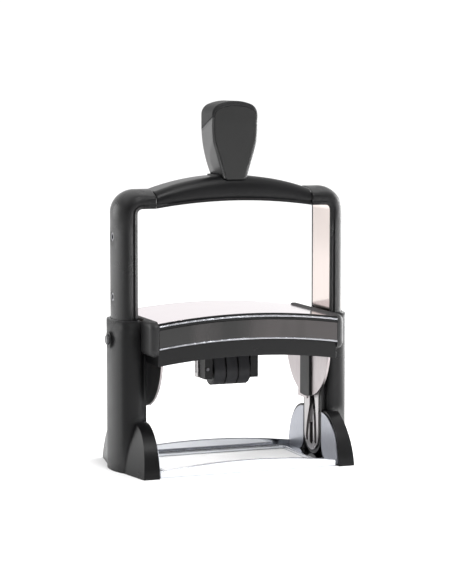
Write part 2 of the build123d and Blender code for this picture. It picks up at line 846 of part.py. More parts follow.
def knob_half(height, inset=0.0):
    """Half the knob's width at a height below its upright sides."""
    centre = knob_half_width - knob_side_radius
    return centre + math.sqrt((knob_side_radius - inset)**2 - (knob_wide_height - height)**2)


def knob_face(inset, foot, top):
    """Front view of the knob, a shield with a crowned top; inset draws it smaller all round."""
    half = knob_half_width - inset
    low = knob_half(foot, inset)
    middle_height = (foot + knob_wide_height) / 2
    middle = knob_half(middle_height, inset)
    shoulder = top - drop(knob_crown_radius - inset, half)
    face = make_face([
        Line((-low, foot), (low, foot)),
        ThreePointArc((low, foot), (middle, middle_height), (half, knob_wide_height)),
        Line((half, knob_wide_height), (half, shoulder)),
        ThreePointArc((half, shoulder), (0, top), (-half, shoulder)),
        Line((-half, shoulder), (-half, knob_wide_height)),
        ThreePointArc((-half, knob_wide_height), (-middle, middle_height), (-low, foot)),
    ])
    return fillet(face.vertices().group_by(Axis.Y)[-1], max(knob_corner - inset, panel_corner))


def facets(inset):
    """What the two facets at the knob's front edges take off; inset moves them inwards."""
    foot = knob_half(knob_foot)
    start = Vector(foot - facet_width, -knob_front, knob_foot)
    back = Vector(foot, facet_run - knob_front, knob_foot)
    top = Vector(knob_half(bridge_top + facet_rise), -knob_front, bridge_top + facet_rise)
    outward = (top - start).cross(back - start).normalized()
    outward = outward if outward.X > 0 else -outward
    reach = 2 * knob_height
    side = Plane(start - outward * inset, x_dir=back - start, z_dir=outward)
    return both_ends(side * Pos(0, 0, reach / 2) * Box(reach, reach, reach))


def knob_blank():
    blank = across(knob_face(0.0, knob_foot, knob_top), -knob_front, knob_back)
    back = blank.faces().sort_by(Axis.Y)[-1]
    blank = fillet(back.edges().sort_by(Axis.Z)[1:], knob_back_round)
    front = blank.faces().sort_by(Axis.Y)[0]
    return fillet(front.edges().sort_by(Axis.Z)[1:], knob_front_round) - facets(0.0)


def front_panel(grow=0.0, proud=panel_proud):
    top = knob_top - panel_margin - panel_top_drop
    face = knob_face(panel_margin - grow, knob_foot - panel_overhang, top + grow)
    panel = across(face, -knob_front - proud, panel_thickness - panel_proud - knob_front + grow)
    return panel - facets(panel_margin - grow)


def rear_panel(grow=0.0, proud=panel_proud):
    inset = knob_back_round + panel_margin
    face = knob_face(inset - grow, knob_foot + rear_panel_lift - grow, knob_top - inset + grow)
    return across(face, knob_back - panel_thickness + panel_proud - grow, knob_back + proud)


def seam_half(shift):
    """Everything above the slanting seam, moved by half the seam's gap."""
    lean = (knob_seam_back - knob_seam_front) / (knob_front + knob_back)
    reach = 2 * (knob_front + knob_back)
    front = knob_seam_front + shift - lean * (reach - knob_front)
    back = front + 2 * lean * reach
    top = knob_top + reach
    face = make_face(Polyline((-reach, front), (reach, back), (reach, top), (-reach, top), close=True))
    return along(face, -reach, reach)


def knob_peg(grow=0.0):
    """The square peg that centres the cap on the body."""
    half = knob_peg_half + grow
    return block(-half, half, -half, half,
                 knob_seam_back - knob_peg_below, knob_seam_front + knob_peg_above + grow)


def knob_pieces():
    blank = knob_blank() - handle_bridge()
    blank -= front_panel(fit_gap, panel_proud + cut_past)
    blank -= rear_panel(fit_gap, panel_proud + cut_past)
    blank -= post(knob_screw_radius + fit_gap, 0, 0, bridge_bottom, knob_screw_top + fit_gap)
    cap = (blank & seam_half(knob_seam_gap / 2)) - knob_peg(fit_gap)
    body = blank - seam_half(-knob_seam_gap / 2) + knob_peg()
    return body, cap


def knob_screw():
    low = bridge_bottom + knob_screw_sunk
    return (post(knob_screw_radius, 0, 0, low, knob_screw_top)
            + post(knob_screw_head_radius, 0, 0, low, bridge_bottom + knob_screw_head))


def lock_button():
    cap = rod(lock_cap_radius, lock_cap_inner, lock_cap_outer, 0, lock_height)
    cap = chamfer(cap.edges().sort_by(Axis.X)[-1], lock_cap_chamfer)
    return cap + rod(lock_stem_radius, leg_outer + slot_gap, lock_cap_inner, 0, lock_height)


def pad_tray():
    """A plate over the pad with a rim, two runners and the housing's rear panel with its finger grip."""
    panel_inner = housing_half_depth + running_gap
    panel_outer = housing_half_depth + tray_panel_proud
    panel_low = die_face - tray_panel_drop
    panel_half = housing_half_length - running_gap
    tray = across(arched_face(panel_half, panel_low, housing_top - running_gap, housing_arch),
                  panel_inner, panel_outer)
    tray -= post(grip_radius, 0, panel_outer + grip_radius - grip_depth, panel_low - cut_past,
                 housing_top + cut_past)
    front = housing_inner_depth - tray_front_gap
    plate_half = ledge_inner + tray_plate_overlap
    tray += block(-plate_half, plate_half, -front, panel_inner, pad_top, pad_top + tray_plate)
    ring = Rectangle(2 * (tray_inner_length + tray_wall), 2 * (tray_inner_depth + tray_wall))
    ring -= Rectangle(2 * tray_inner_length, 2 * tray_inner_depth)
    tray += rise(ring, pad_bottom + tray_lip_rise, pad_top)
    runner_end = housing_inner_length - running_gap
    return tray + both_ends(block(tray_inner_length + tray_wall / 2, runner_end, -front, front,
                                  runner_bottom, runner_bottom + runner_thickness))


def ink_pad():
    return rise(RectangleRounded(2 * pad_half_length, 2 * pad_half_depth, pad_round), pad_bottom, pad_top)


def date_window(low, high):
    return block(-head_inner, head_inner, -date_window_half_depth, date_window_half_depth, low, high)


def die_carrier():
    low = carrier_under
    ring = Rectangle(2 * carrier_half_length, 2 * carrier_half_depth)
    body = rise(ring, low, plate_top)
    ring -= Rectangle(2 * (carrier_half_length - carrier_rim), 2 * (carrier_half_depth - carrier_rim))
    body += rise(ring, low - carrier_rim_drop, low)
    web_top = plate_top - arm_top_setback
    web = make_face(Polyline((-arm_top_half_depth, web_top), (arm_top_half_depth, web_top),
                             (turn_pin_throw, pivot_rest), (-turn_pin_throw, pivot_rest), close=True))
    right = along(eye_face() + web, arm_inner, arm_outer)
    right -= pin_bores(trunnion_start - fit_gap, arm_outer + cut_past)
    return body + both_ends(right) - date_window(low - cut_past, plate_top + cut_past)


def text_plate():
    """A rubber sheet with a raised border line and a raised frame round the date."""
    lines_low = plate_top + die_base
    sheet = rise(Rectangle(2 * die_half_length, 2 * die_half_depth), plate_top, lines_low)
    outer = Rectangle(2 * (die_half_length - border_margin), 2 * (die_half_depth - border_margin))
    inner = border_margin + border_width
    outer -= Rectangle(2 * (die_half_length - inner), 2 * (die_half_depth - inner))
    frame = Rectangle(2 * (head_inner + 2 * border_width), 2 * (date_window_half_depth + 2 * border_width))
    frame -= Rectangle(2 * (head_inner + border_width), 2 * (date_window_half_depth + border_width))
    sheet += rise(outer, lines_low, die_face) + rise(frame, lines_low, die_face)
    return sheet - date_window(plate_top - cut_past, die_face + cut_past)


def trunnion():
    return rod(trunnion_radius, trunnion_start, leg_flat + leg_wall - fit_gap, 0, pivot_rest)


def turning_pins():
    end = track_inner + track_depth - running_gap
    pins = [rod(turn_pin_radius, trunnion_start, end, y, pivot_rest)
            for y in (-turn_pin_throw, turn_pin_throw)]
    return Compound(children=pins + [mirror(pin, about=Plane.YZ) for pin in pins])


def tangent_loop(inset):
    """The belt line round the type bar's two edges and the setting wheel, moved inwards by inset."""
    wheel = band_wheel_radius - inset
    corner = band_top_round - inset
    x = band_top_half - band_top_round
    z = die_face - band_top_round
    span = math.hypot(x, z - axle_height)
    lean = math.atan2(z - axle_height, x) - math.acos((wheel - corner) / span)
    c, s = math.cos(lean), math.sin(lean)
    top, low = (x + corner * c, z + corner * s), (wheel * c, axle_height + wheel * s)
    half = math.sqrt(0.5) * corner
    return make_face([
        Line(low, top),
        ThreePointArc(top, (x + half, z + half), (x, z + corner)),
        Line((x, z + corner), (-x, z + corner)),
        ThreePointArc((-x, z + corner), (-x - half, z + half), (-top[0], top[1])),
        Line((-top[0], top[1]), (-low[0], low[1])),
        ThreePointArc((-low[0], low[1]), (0, axle_height - wheel), low),
    ])


def band_left(n):
    return (n - (band_count - 1) / 2) * band_pitch - band_width / 2


def date_band(n):
    return along(tangent_loop(0.0) - tangent_loop(band_thickness), band_left(n), band_left(n) + band_width)


def date_wheel(n):
    """A setting wheel: a drum inside the band and a notched thumb disc beside it."""
    right = band_left(n) + band_width
    side = right + flange_slack
    wheel = rod(band_wheel_radius - band_thickness - wheel_gap, band_left(n), side, 0, axle_height)
    disc = rod(flange_radius, side, side + flange_thickness, 0, axle_height)
    notches = []
    for k in range(flange_notches):
        turn = 2 * math.pi * k / flange_notches
        notches.append(rod(flange_notch_radius, right, right + band_gap,
                           flange_radius * math.cos(turn), axle_height + flange_radius * math.sin(turn)))
    wheel += disc - notches
    return wheel - rod(axle_radius + wheel_bore_gap, band_left(n) - cut_past, right + band_pitch,
                       0, axle_height)


def detent_pin(grow=0.0):
    """A round-headed pin in the front of the left head."""
    x = -head_outer + detent_inset
    start = -head_half_depth - detent_proud
    hole = Pos(x, axle_height + detent_rise) * Circle(detent_radius + grow)
    return across(hole, start, start + detent_length + grow)


def date_heads():
    """The two blocks that hang under the carrier and hold the axle."""
    right = block(head_inner, head_outer, -head_half_depth, head_half_depth, head_bottom, carrier_under)
    right = fillet(right.edges().filter_by(Axis.X).group_by(Axis.Z)[0], head_round)
    right -= rod(axle_radius + fit_gap, head_inner - cut_past, head_inner + axle_seat + fit_gap,
                 0, axle_height)
    left = mirror(right, about=Plane.YZ) - detent_pin(fit_gap)
    return Compound(children=[right, left])


def date_side_plates():
    """Bright spring plates on the outer sides of the heads, towards the rear."""
    rear = head_half_depth + side_plate_proud
    end = head_outer + side_plate_thickness
    right = block(head_outer, end, rear - side_plate_depth, rear, head_bottom, carrier_under)
    slot = slot_face(side_slot_half, head_bottom + side_slot_margin, carrier_under - side_slot_margin)
    right -= along(Pos(rear - side_plate_depth / 2, 0) * slot, head_outer - cut_past, end + cut_past)
    return Compound(children=[right, mirror(right, about=Plane.YZ)])


def date_axle():
    end = head_inner + axle_seat
    return rod(axle_radius, -end, end, 0, axle_height)


def type_bar():
    inset = band_thickness + wheel_gap
    height = die_face - inset - type_bar_bottom
    face = Pos(0, type_bar_bottom + height / 2) * RectangleRounded(2 * (band_top_half - inset), height,
                                                                   band_top_round - inset)
    return along(face, -head_inner, head_inner)


os.makedirs(PARTS, exist_ok=True)

save("base_frame", base_frame())
save("base_screws", base_screws())
save_pair("column_casing", column_casing())
save_pair("fin_plates", fin_plates())
save_pair("guide_rail", guide_rail())
save_pair("cam_plate", cam_plate())
save_pair("guide_bush", guide_bush())
save_pair("spring_rod", post(spring_rod_radius, spring_x, 0, column_floor, spring_rod_top))
save_pair("return_spring", return_spring())
save("pad_housing", pad_housing())
save("housing_top_plate", housing_top_plate())
save_pair("end_cap", end_cap())
save("label_window", label_window())
save("label_card", label_card())
save("upper_trim_strip", trim_strip(upper_trim_low))
save("lower_trim_strip", trim_strip(window_bottom - trim_height))
save_pair("end_shield", end_shield())
save("turning_levers", turning_levers())

save("handle_bridge", handle_bridge())
save_pair("leg_cover", leg_cover())
save("inner_strap", bored_strap())
save_pair("lock_eyelets", lock_eyelets())
save_pair("trunnion_bush", trunnion_bush())
knob_body, knob_cap = knob_pieces()
save("knob_body", knob_body)
save("knob_cap", knob_cap)
save("knob_front_panel", front_panel())
save("knob_rear_panel", rear_panel())
save("knob_screw", knob_screw())
save_pair("lock_button", lock_button())

save("pad_tray", pad_tray())
save("ink_pad", ink_pad())
save("die_carrier", die_carrier())
save("text_plate", text_plate())
save_pair("trunnion", trunnion())
save("turning_pins", turning_pins())
save("date_heads", date_heads())
save("date_side_plates", date_side_plates())
save("date_axle", date_axle())
save("detent_pin", detent_pin())
save("type_bar", type_bar())
for n, unit in enumerate(("day", "month", "year")):
    save(unit + "_band", date_band(n))
    save(unit + "_wheel", date_wheel(n))
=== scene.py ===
import json
import math

import bpy
import numpy as np
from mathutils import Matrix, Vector


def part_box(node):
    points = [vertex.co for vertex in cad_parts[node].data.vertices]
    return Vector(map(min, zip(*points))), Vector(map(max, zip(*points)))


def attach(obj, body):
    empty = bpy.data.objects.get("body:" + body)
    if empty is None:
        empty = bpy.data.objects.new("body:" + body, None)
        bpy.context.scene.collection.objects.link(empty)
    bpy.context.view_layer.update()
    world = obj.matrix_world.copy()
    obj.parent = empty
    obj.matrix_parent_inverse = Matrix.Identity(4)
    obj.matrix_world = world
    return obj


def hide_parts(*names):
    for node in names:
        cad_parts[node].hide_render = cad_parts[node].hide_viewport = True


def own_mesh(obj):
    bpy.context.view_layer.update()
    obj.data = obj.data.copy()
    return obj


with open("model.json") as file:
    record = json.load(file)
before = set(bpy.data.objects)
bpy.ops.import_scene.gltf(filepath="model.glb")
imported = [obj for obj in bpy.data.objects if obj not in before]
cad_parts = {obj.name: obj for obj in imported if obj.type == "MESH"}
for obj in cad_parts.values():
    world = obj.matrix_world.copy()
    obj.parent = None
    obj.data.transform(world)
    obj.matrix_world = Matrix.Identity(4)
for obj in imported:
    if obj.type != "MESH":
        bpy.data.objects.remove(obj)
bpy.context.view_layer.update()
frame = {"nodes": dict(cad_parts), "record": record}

nodes = frame["nodes"]
mm = 0.001
print("frame loaded:", len(nodes), "CAD nodes")


# sRGB hex to the linear colour that the shaders take
def linearColour(code):
    parts = np.array([int(code[k:k + 2], 16) for k in (1, 3, 5)]) / 255
    linear = np.where(parts <= 0.04045, parts / 12.92, ((parts + 0.055) / 1.055) ** 2.4)
    return (*linear.tolist(), 1.0)


# noise scale for features of a real size in millimetres
def perMm(size):
    return 1000 / size


# Adds a node. An input given as a socket is linked, any other value is set. A colour mix has its share at 0,
# its two colours at 6 and 7, and its result at 2.
def addNode(tree, kind, settings, inputs):
    node = tree.nodes.new(kind)
    for name, value in settings.items():
        setattr(node, name, value)
    for name, value in inputs.items():
        if isinstance(value, bpy.types.NodeSocket):
            tree.links.new(value, node.inputs[name])
        else:
            node.inputs[name].default_value = value
    return node


# camera at the photo's angle, and a plain white studio that is dimmer on the camera's side
studio = {
    "cameraAt": (-0.5513, -1.4499, 0.2911),
    "cameraLooksAt": (-0.00092, 0.0, 0.12739),
    "lens": 129.57,
    "clip": (0.05, 50),
    "worldFront": 0.35,
    "worldBack": 1.06,
    "worldTurn": (-1.0, 0.2),  # where the front's level ends and the back's begins, along Y
    "sun": {"strength": 1.0, "softness": 100},  # even light from above, softness in degrees
    "floorSize": 12.0,
    "floorColour": "#fcfcfc",
    "floorRough": 0.7,
    "floorSpecular": 0.2,
    "lights": [  # name, place, aim, width, height, watts
        ("leftSoftbox", (-1.2, 1.4, 0.38), (0, 0, 0.1), 0.9, 0.7, 5),
        ("rightSoftbox", (1.5, 0.25, 0.5), (0, 0, 0.15), 1.2, 0.9, 20),
        ("rightStrip", (0.5, -0.1, 0.16), (0, -0.1, 0.16), 0.7, 0.3, 6),
        ("frontFill", (0.2, -1.6, 2.0), (0, 0, 0.0), 0.8, 0.8, 26),
    ],
}


def aim(obj, place, target):
    obj.location = place
    obj.rotation_euler = (Vector(target) - Vector(place)).to_track_quat("-Z", "Y").to_euler()


def placeCamera(scene):
    lens = bpy.data.cameras.new("photoCamera")
    lens.lens = studio["lens"]
    lens.clip_start, lens.clip_end = studio["clip"]
    camera = bpy.data.objects.new("photoCamera", lens)
    scene.collection.objects.link(camera)
    aim(camera, studio["cameraAt"], studio["cameraLooksAt"])
    scene.camera = camera


def lightStudio(scene):
    world = bpy.data.worlds.new("whiteStudio")
    world.use_nodes = True
    tree = world.node_tree
    backdrop = tree.nodes["Background"]
    backdrop.inputs["Color"].default_value = (1, 1, 1, 1)
    towards = addNode(tree, "ShaderNodeTexCoord", {}, {}).outputs["Generated"]
    axes = addNode(tree, "ShaderNodeSeparateXYZ", {}, {"Vector": towards})
    turnStart, turnEnd = studio["worldTurn"]
    level = addNode(tree, "ShaderNodeMapRange", {"interpolation_type": "SMOOTHSTEP"}, {
        "Value": axes.outputs["Y"], "From Min": turnStart, "From Max": turnEnd,
        "To Min": studio["worldFront"], "To Max": studio["worldBack"]})
    tree.links.new(level.outputs["Result"], backdrop.inputs["Strength"])
    scene.world = world

    above = bpy.data.lights.new("evenTopLight", "SUN")
    above.energy = studio["sun"]["strength"]
    above.angle = math.radians(studio["sun"]["softness"])
    scene.collection.objects.link(bpy.data.objects.new("evenTopLight", above))

    for name, place, target, width, height, watts in studio["lights"]:
        light = bpy.data.lights.new(name, "AREA")
        light.shape = "RECTANGLE"
        light.size = width
        light.size_y = height
        light.energy = watts
        lamp = bpy.data.objects.new(name, light)
        scene.collection.objects.link(lamp)
        aim(lamp, place, target)


def layFloor(scene):
    half = studio["floorSize"] / 2
    corners = [(-half, -half, 0), (half, -half, 0), (half, half, 0), (-half, half, 0)]
    mesh = bpy.data.meshes.new("paleFloor")
    mesh.from_pydata(corners, [], [(0, 1, 2, 3)])
    floor = bpy.data.objects.new("paleFloor", mesh)
    scene.collection.objects.link(floor)
    paint = bpy.data.materials.new("paleFloorPaint")
    paint.use_nodes = True
    shader = paint.node_tree.nodes["Principled BSDF"]
    shader.inputs["Base Color"].default_value = linearColour(studio["floorColour"])
    shader.inputs["Roughness"].default_value = studio["floorRough"]
    shader.inputs["Specular IOR Level"].default_value = studio["floorSpecular"]
    mesh.materials.append(paint)


scene = bpy.context.scene
scene.view_settings.view_transform = "Standard"
placeCamera(scene)
lightStudio(scene)
layFloor(scene)
print("studio ready")


# a new material with its node tree, its shader and the object's own coordinates
def startMaterial(name):
    material = bpy.data.materials.new(name)
    material.use_nodes = True
    tree = material.node_tree
    place = addNode(tree, "ShaderNodeTexCoord", {}, {}).outputs["Object"]
    return material, tree, tree.nodes["Principled BSDF"], place


# An edge begins where the rounded normal leaves the flat one, and is full where they agree only this far.
edgeBend = {"begins": 0.995, "full": 0.8}


# how far a point lies on an edge, from none to the given strength
def edgeMask(tree, rounded, strength):
    facing = addNode(tree, "ShaderNodeNewGeometry", {}, {}).outputs["Normal"]
    bend = addNode(tree, "ShaderNodeVectorMath", {"operation": "DOT_PRODUCT"}, {0: facing, 1: rounded})
    mask = addNode(tree, "ShaderNodeMapRange", {}, {
        "Value": bend.outputs["Value"], "From Min": edgeBend["begins"], "From Max": edgeBend["full"],
        "To Min": 0.0, "To Max": strength})
    return mask.outputs["Result"]


# Moulded plastic: spark-eroded grain, slow mottling, edges rubbed a little lighter and smoother.
# The grain is drawn several times coarser than a real one, so that it shows.
moulding = {
    "bevelSamples": 8,
    "rubMm": 9, "rubFrom": 0.38, "rubTo": 0.62, "rubLeast": 0.25,  # patches of rubbing along the edges
    "mottleMm": 35, "mottleFrom": 0.3, "mottleTo": 0.7, "glossier": 0.04, "duller": 0.05,
    "rubbedSmooth": 0.12,  # roughness that full rubbing takes away
    "grainHeight": 0.2,  # share of the grain's width
}


def mouldedPlastic(name, look):
    material, tree, shader, place = startMaterial(name)
    radius = look["edgeMm"] * mm
    if "crisp" in look:  # between two distances from a middle plane, soft corners give way to crisp ones
        crisp = look["crisp"]
        axes = addNode(tree, "ShaderNodeSeparateXYZ", {}, {"Vector": place})
        away = addNode(tree, "ShaderNodeMath", {"operation": "ABSOLUTE"}, {0: axes.outputs[crisp["axis"]]})
        radius = addNode(tree, "ShaderNodeMapRange", {}, {
            "Value": away.outputs[0], "From Min": crisp["from"] * mm, "From Max": crisp["to"] * mm,
            "To Min": radius, "To Max": crisp["edgeMm"] * mm}).outputs["Result"]
    rounded = addNode(tree, "ShaderNodeBevel", {"samples": moulding["bevelSamples"]}, {
        "Radius": radius}).outputs["Normal"]
    rubbing = addNode(tree, "ShaderNodeTexNoise", {}, {
        "Vector": place, "Scale": perMm(moulding["rubMm"]), "Detail": 4.0})
    patchy = addNode(tree, "ShaderNodeMapRange", {}, {
        "Value": rubbing.outputs["Fac"], "From Min": moulding["rubFrom"], "From Max": moulding["rubTo"],
        "To Min": moulding["rubLeast"], "To Max": 1.0})
    worn = addNode(tree, "ShaderNodeMath", {"operation": "MULTIPLY"}, {
        0: edgeMask(tree, rounded, 1.0), 1: patchy.outputs["Result"]})
    wornPart = addNode(tree, "ShaderNodeMath", {"operation": "MULTIPLY"}, {
        0: worn.outputs[0], 1: look["wear"]})
    mottle = addNode(tree, "ShaderNodeTexNoise", {}, {
        "Vector": place, "Scale": perMm(moulding["mottleMm"]), "Detail": 3.0})
    body = addNode(tree, "ShaderNodeMix", {"data_type": "RGBA"}, {
        0: mottle.outputs["Fac"], 6: linearColour(look["dark"]), 7: linearColour(look["light"])})
    colour = addNode(tree, "ShaderNodeMix", {"data_type": "RGBA"}, {
        0: wornPart.outputs[0], 6: body.outputs[2], 7: linearColour(look["rubbed"])})
    tree.links.new(colour.outputs[2], shader.inputs["Base Color"])
    gloss = addNode(tree, "ShaderNodeMapRange", {}, {
        "Value": mottle.outputs["Fac"], "From Min": moulding["mottleFrom"], "From Max": moulding["mottleTo"],
        "To Min": look["rough"] - moulding["glossier"], "To Max": look["rough"] + moulding["duller"]})
    polished = addNode(tree, "ShaderNodeMath", {"operation": "MULTIPLY_ADD"}, {
        0: wornPart.outputs[0], 1: -moulding["rubbedSmooth"], 2: gloss.outputs["Result"]})
    tree.links.new(polished.outputs[0], shader.inputs["Roughness"])
    grain = addNode(tree, "ShaderNodeTexNoise", {}, {
        "Vector": place, "Scale": perMm(look["grainMm"]), "Detail": 2.0, "Roughness": 0.6})
    bump = addNode(tree, "ShaderNodeBump", {}, {
        "Height": grain.outputs["Fac"], "Strength": look["grainDepth"],
        "Distance": look["grainMm"] * moulding["grainHeight"] * mm, "Normal": rounded})
    tree.links.new(bump.outputs["Normal"], shader.inputs["Normal"])
    shader.inputs["IOR"].default_value = look["ior"]
    shader.inputs["Specular IOR Level"].default_value = look["specular"]
    return material


# Sheet or bar metal: fine lines along one direction, soft smudges, and edges in the light tone or in one of
# their own; on the base that edge tone is a painted shade, on the trims a painted reflection, and on the
# eyelets a painted highlight. The lines are drawn several times wider than real ones, so that they show.
working = {
    "bevelSamples": 6,
    "edgeStrength": 0.8,
    "smudgeMm": 28, "smudgeFrom": 0.3, "smudgeTo": 0.7,
    "cleaner": 0.75, "duller": 1.35,  # shares of the roughness
    "lineHeightMm": 0.02,
}


def workedMetal(name, look):
    material, tree, shader, place = startMaterial(name)
    along = addNode(tree, "ShaderNodeMapping", {}, {"Vector": place, "Scale": look["lineStretch"]})
    lines = addNode(tree, "ShaderNodeTexNoise", {}, {
        "Vector": along.outputs["Vector"], "Scale": perMm(look["lineMm"]), "Detail": 3.0, "Roughness": 0.65})
    tone = addNode(tree, "ShaderNodeMix", {"data_type": "RGBA"}, {
        0: lines.outputs["Fac"], 6: linearColour(look["dark"]), 7: linearColour(look["light"])})
    rounded = addNode(tree, "ShaderNodeBevel", {"samples": working["bevelSamples"]}, {
        "Radius": look["edgeMm"] * mm}).outputs["Normal"]
    # the edge tone laid over the edges: where a piece has one, it carries that piece's painted shade, painted
    # reflection or painted highlight
    edgeToned = addNode(tree, "ShaderNodeMix", {"data_type": "RGBA"}, {
        0: edgeMask(tree, rounded, working["edgeStrength"]), 6: tone.outputs[2],
        7: linearColour(look.get("edgeTone", look["light"]))})
    tree.links.new(edgeToned.outputs[2], shader.inputs["Base Color"])
    smudge = addNode(tree, "ShaderNodeTexNoise", {}, {
        "Vector": place, "Scale": perMm(working["smudgeMm"]), "Detail": 3.0})
    base = addNode(tree, "ShaderNodeMapRange", {}, {
        "Value": smudge.outputs["Fac"], "From Min": working["smudgeFrom"], "From Max": working["smudgeTo"],
        "To Min": look["rough"] * working["cleaner"], "To Max": look["rough"] * working["duller"]})
    rough = addNode(tree, "ShaderNodeMath", {"operation": "MULTIPLY_ADD"}, {
        0: lines.outputs["Fac"], 1: look["lineRough"], 2: base.outputs["Result"]})
    tree.links.new(rough.outputs[0], shader.inputs["Roughness"])
    bump = addNode(tree, "ShaderNodeBump", {}, {
        "Height": lines.outputs["Fac"], "Strength": look["lineDepth"],
        "Distance": working["lineHeightMm"] * mm, "Normal": rounded})
    tree.links.new(bump.outputs["Normal"], shader.inputs["Normal"])
    shader.inputs["Metallic"].default_value = 1.0
    return material


# what the black mouldings share: ABS from a spark-eroded mould, near black and satin
blackAbs = {
    "dark": "#0b0b0c", "light": "#111112", "rubbed": "#2a2a2b", "rough": 0.3, "grainMm": 0.7,
    "grainDepth": 0.12, "edgeMm": 9.0, "wear": 0.1, "ior": 1.5, "specular": 0.17}
plastics = {
    # housing, tray and rails: a grain that breaks the highlights, and tight edges rubbed lighter
    "black_casing": ("mouldedBlackAbs", {
        **blackAbs, "rubbed": "#454547", "edgeMm": 0.5, "wear": 0.4, "specular": 0.22}),
    # columns: wide soft corners that carry the light round in a long gradient, and crisp ones on the fins
    "column_casing": ("mouldedBlackAbsColumn", {
        **blackAbs, "crisp": {"axis": "Y", "from": 22.2, "to": 23.0, "edgeMm": 0.6}}),
    # legs: as soft as the columns, and crisp at the shoulders' ends
    "leg_cover": ("mouldedBlackAbsLeg", {
        **blackAbs, "specular": 0.25, "crisp": {"axis": "X", "from": 70.0, "to": 65.0, "edgeMm": 0.8}}),
    # bridge: as soft, and crisp at its ends
    "handle_bridge": ("mouldedBlackAbsBridge", {
        **blackAbs, "crisp": {"axis": "X", "from": 46.0, "to": 54.0, "edgeMm": 2.0}}),
    # the knob: a softly swelling body, polished by the hand so that its sides catch more light
    "knob_body": ("mouldedBlackAbsKnob", {
        **blackAbs, "rubbed": "#3a3a3c", "edgeMm": 3.5, "wear": 0.15, "specular": 0.6}),
    # end caps: a duller skin that spreads the light evenly over their sides
    "end_cap": ("mouldedDullAbs", {
        **blackAbs, "dark": "#131314", "light": "#1a1a1b", "rubbed": "#353536", "rough": 0.48, "grainMm": 0.8,
        "grainDepth": 0.18, "edgeMm": 0.7, "wear": 0.2, "specular": 0.36}),
    # the knob's cap: left matt by a coarser grain
    "knob_cap": ("mattBlackAbs", {
        **blackAbs, "dark": "#0f0f10", "light": "#151516", "rubbed": "#4a4a4c", "rough": 0.5, "grainMm": 0.9,
        "grainDepth": 0.2, "edgeMm": 3.0, "wear": 0.15, "specular": 0.22}),
    # the knob's inset panels: greyer and duller than its body
    "knob_face": ("mouldedGreyAbsPanel", {
        "dark": "#141414", "light": "#1a1a1a", "rubbed": "#4c4c4c", "rough": 0.45, "grainMm": 0.6,
        "grainDepth": 0.15, "edgeMm": 0.4, "wear": 0.5, "ior": 1.53, "specular": 0.27}),
    # acetal bushes: waxy and smooth
    "bush_plastic": ("turnedBlackAcetal", {
        "dark": "#202022", "light": "#28282a", "rubbed": "#4a4a4c", "rough": 0.3, "grainMm": 1.2,
        "grainDepth": 0.05, "edgeMm": 0.3, "wear": 0.5, "ior": 1.48, "specular": 0.5}),
    # glass-filled nylon: dull black with a mealy skin
    "dark_plastic": ("mouldedBlackNylon", {
        "dark": "#0f0f10", "light": "#151516", "rubbed": "#3c3c3e", "rough": 0.45, "grainMm": 0.5,
        "grainDepth": 0.2, "edgeMm": 0.3, "wear": 0.5, "ior": 1.53, "specular": 0.16}),
    # lock buttons: grey ABS with a smooth face
    "button_plastic": ("mouldedGreyAbsButton", {
        "dark": "#38383a", "light": "#424244", "rubbed": "#7a7a7c", "rough": 0.26, "grainMm": 0.8,
        "grainDepth": 0.05, "edgeMm": 0.4, "wear": 0.6, "ior": 1.53, "specular": 0.5}),
}

# what the buffed nickel plates share: a mirror with faint long wipe marks
buffedNickel = {
    "rough": 0.07, "lineMm": 0.8, "lineStretch": (0.04, 1.0, 1.0), "lineRough": 0.05, "lineDepth": 0.1,
    "edgeMm": 0.35}
# what the turned pieces share: rings of tool marks about the X axis
turnedMetal = {
    "rough": 0.2, "lineMm": 0.4, "lineStretch": (1.0, 0.15, 0.15), "lineRough": 0.1, "lineDepth": 0.2,
    "edgeMm": 0.25}
